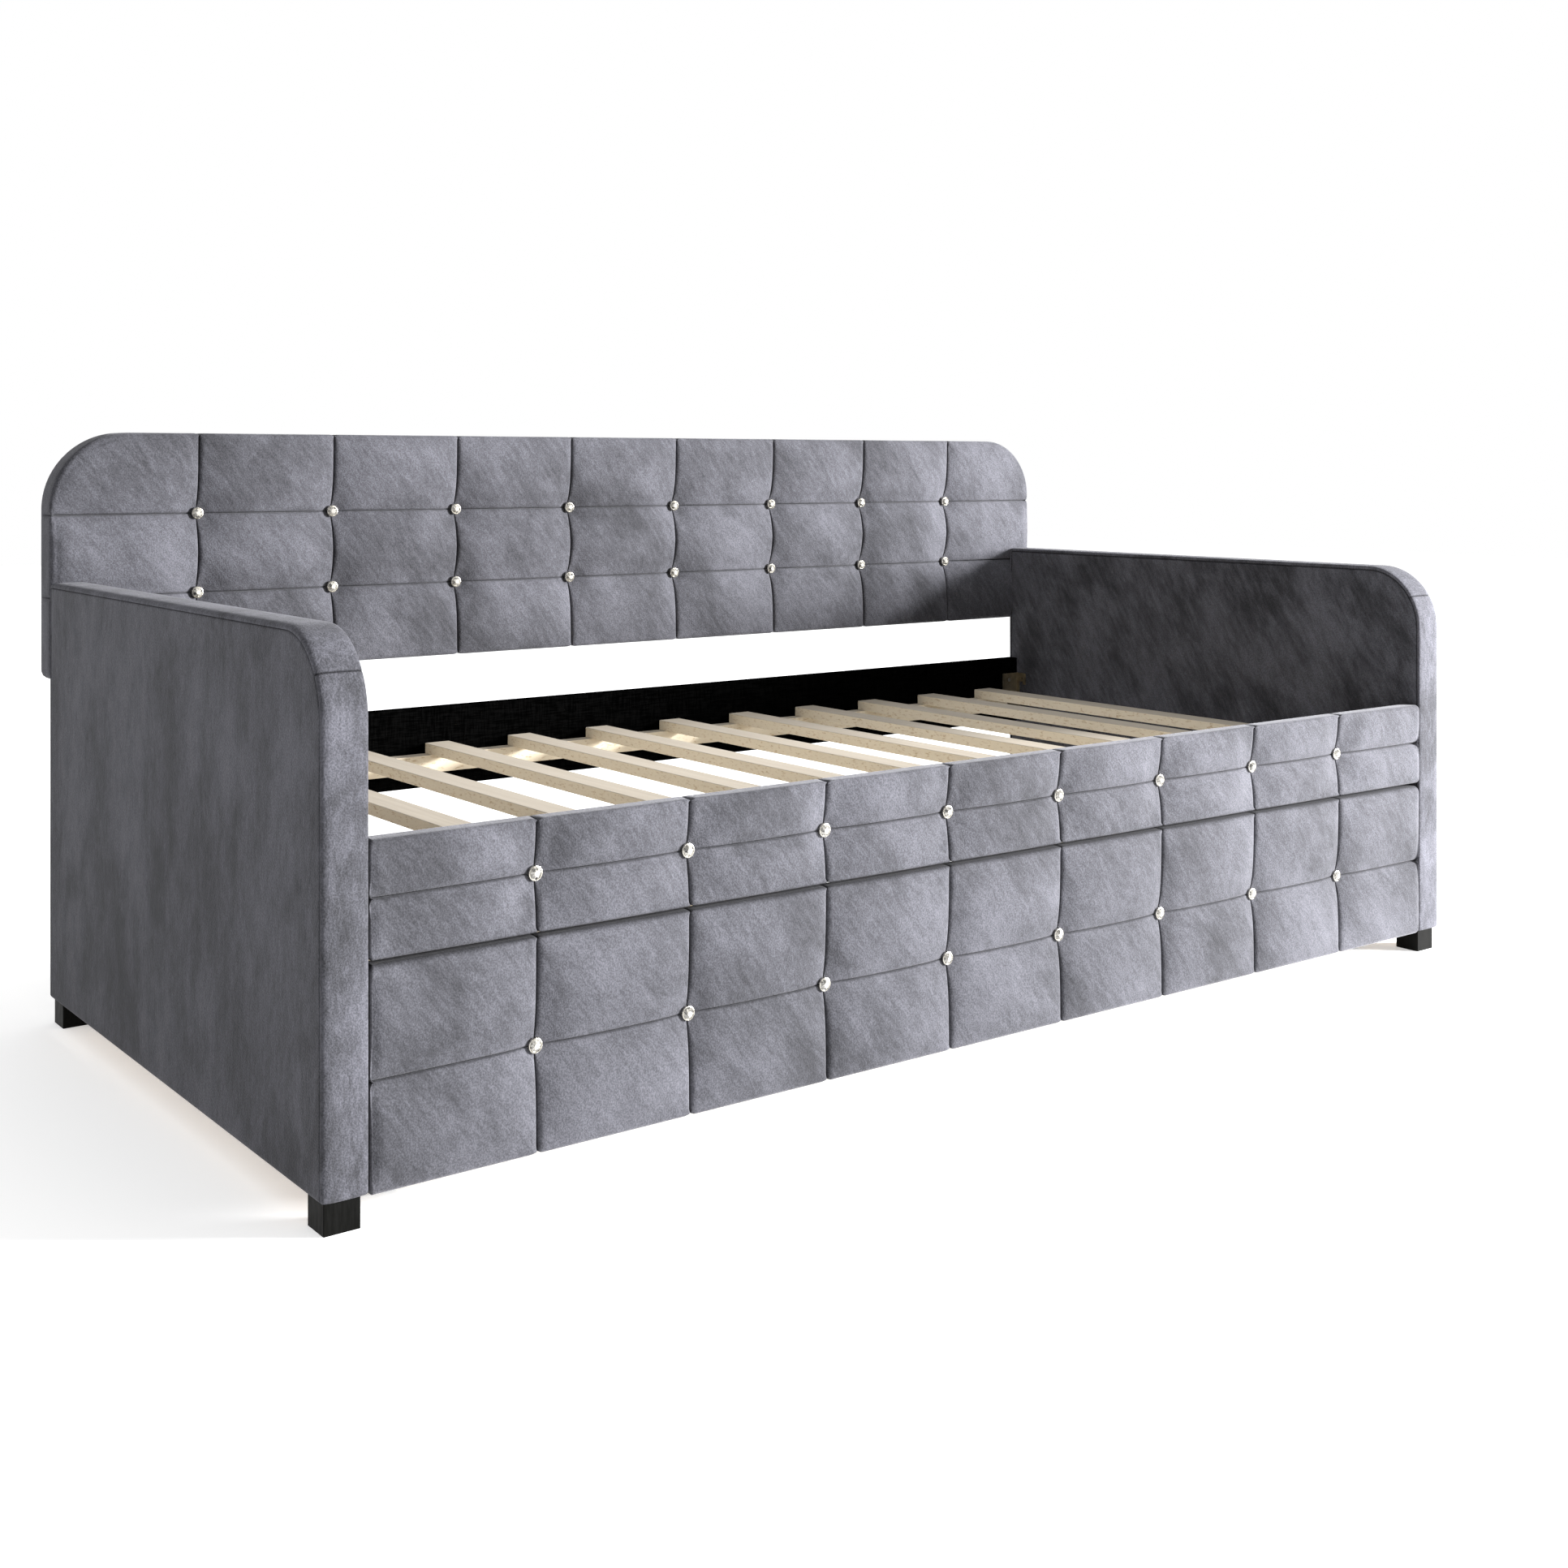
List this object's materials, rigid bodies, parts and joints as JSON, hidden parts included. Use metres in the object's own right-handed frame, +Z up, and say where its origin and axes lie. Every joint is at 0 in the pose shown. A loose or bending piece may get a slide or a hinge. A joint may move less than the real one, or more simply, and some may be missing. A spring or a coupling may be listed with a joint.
{
  "type": "trundle bed",
  "caption": "Upholstered daybed with a biscuit-tufted backrest, slim padded arms and a slatted deck, and a matching trundle that rolls out on casters from under the front rail.",
  "frame": {"origin": "on the floor under the middle of the bed's outer box", "axes": "+X along the bed's length, to the right seen from the front; +Y to the backrest; +Z up"},
  "size_m": [2.076, 1.08, 0.901],
  "materials": {
    "grey_velvet": "crushed velvet, soft sheen",
    "black_linen": "plain matt weave",
    "crystal_button": "faceted, in a pale silver ring",
    "pine": "planed, unfinished",
    "plywood": "raw",
    "black_wood": "satin black paint",
    "bronzed_steel": "dark bronze plating",
    "zinc_steel": "zinc plated",
    "nylon_wheel": "moulded nylon"
  },
  "bodies": {
    "daybed": {"backrest_back_cover": "black_linen", "backrest_board": "plywood", "backrest_bolts": "zinc_steel", "backrest_buttons": "crystal_button", "backrest_pad": "grey_velvet", "frame_screws": "zinc_steel", "front_ledger": "pine", "front_left_leg": "black_wood", "front_rail_board": "plywood", "front_rail_buttons": "crystal_button", "front_rail_lining": "black_linen", "front_rail_pad": "grey_velvet", "front_right_leg": "black_wood", "hook_pins": "bronzed_steel", "left_arm_border": "grey_velvet", "left_arm_core": "plywood", "left_arm_inner_pad": "grey_velvet", "left_arm_outer_pad": "grey_velvet", "leg_bolts": "zinc_steel", "rail_hook_brackets": "bronzed_steel", "rear_ledger": "pine", "rear_left_leg": "black_wood", "rear_rail_board": "plywood", "rear_rail_cover": "black_linen", "rear_right_leg": "black_wood", "right_arm_border": "grey_velvet", "right_arm_core": "plywood", "right_arm_inner_pad": "grey_velvet", "right_arm_outer_pad": "grey_velvet", "slat_01": "pine", "slat_02": "pine", "slat_03": "pine", "slat_04": "pine", "slat_05": "pine", "slat_06": "pine", "slat_07": "pine", "slat_08": "pine", "slat_09": "pine", "slat_10": "pine", "slat_11": "pine", "slat_12": "pine"},
    "trundle": {"trundle_corner_blocks": "plywood", "trundle_corner_brackets": "zinc_steel", "trundle_front_board": "plywood", "trundle_front_buttons": "crystal_button", "trundle_front_ledger": "pine", "trundle_front_lining": "black_linen", "trundle_front_pad": "grey_velvet", "trundle_left_side": "black_linen", "trundle_rear_ledger": "pine", "trundle_rear_rail": "black_linen", "trundle_right_side": "black_linen", "trundle_screws": "zinc_steel", "trundle_slats": "pine", "caster_forks": "zinc_steel", "caster_axles": "zinc_steel"},
    "front_left_caster_wheel": {"front_left_caster_wheel": "nylon_wheel"},
    "front_right_caster_wheel": {"front_right_caster_wheel": "nylon_wheel"},
    "rear_left_caster_wheel": {"rear_left_caster_wheel": "nylon_wheel"},
    "rear_right_caster_wheel": {"rear_right_caster_wheel": "nylon_wheel"}
  },
  "joints": [
    {"name": "trundle_slide", "type": "slide", "parent": "daybed", "child": "trundle", "axis": [0, -1, 0], "range_m": [0, 1.03]},
    {"name": "front_left_wheel_spin", "type": "hinge", "parent": "trundle", "child": "front_left_caster_wheel", "pos_m": [-0.917, -0.44, 0.025], "axis": [1, 0, 0], "continuous": true},
    {"name": "front_right_wheel_spin", "type": "hinge", "parent": "trundle", "child": "front_right_caster_wheel", "pos_m": [0.917, -0.44, 0.025], "axis": [1, 0, 0], "continuous": true},
    {"name": "rear_left_wheel_spin", "type": "hinge", "parent": "trundle", "child": "rear_left_caster_wheel", "pos_m": [-0.917, 0.402, 0.025], "axis": [1, 0, 0], "continuous": true},
    {"name": "rear_right_wheel_spin", "type": "hinge", "parent": "trundle", "child": "rear_right_caster_wheel", "pos_m": [0.917, 0.402, 0.025], "axis": [1, 0, 0], "continuous": true}
  ],
  "couplings": [
    {"joint": "front_left_wheel_spin", "follows": "trundle_slide", "rad_per_m": 40},
    {"joint": "front_right_wheel_spin", "follows": "trundle_slide", "rad_per_m": 40},
    {"joint": "rear_left_wheel_spin", "follows": "trundle_slide", "rad_per_m": 40},
    {"joint": "rear_right_wheel_spin", "follows": "trundle_slide", "rad_per_m": 40}
  ]
}
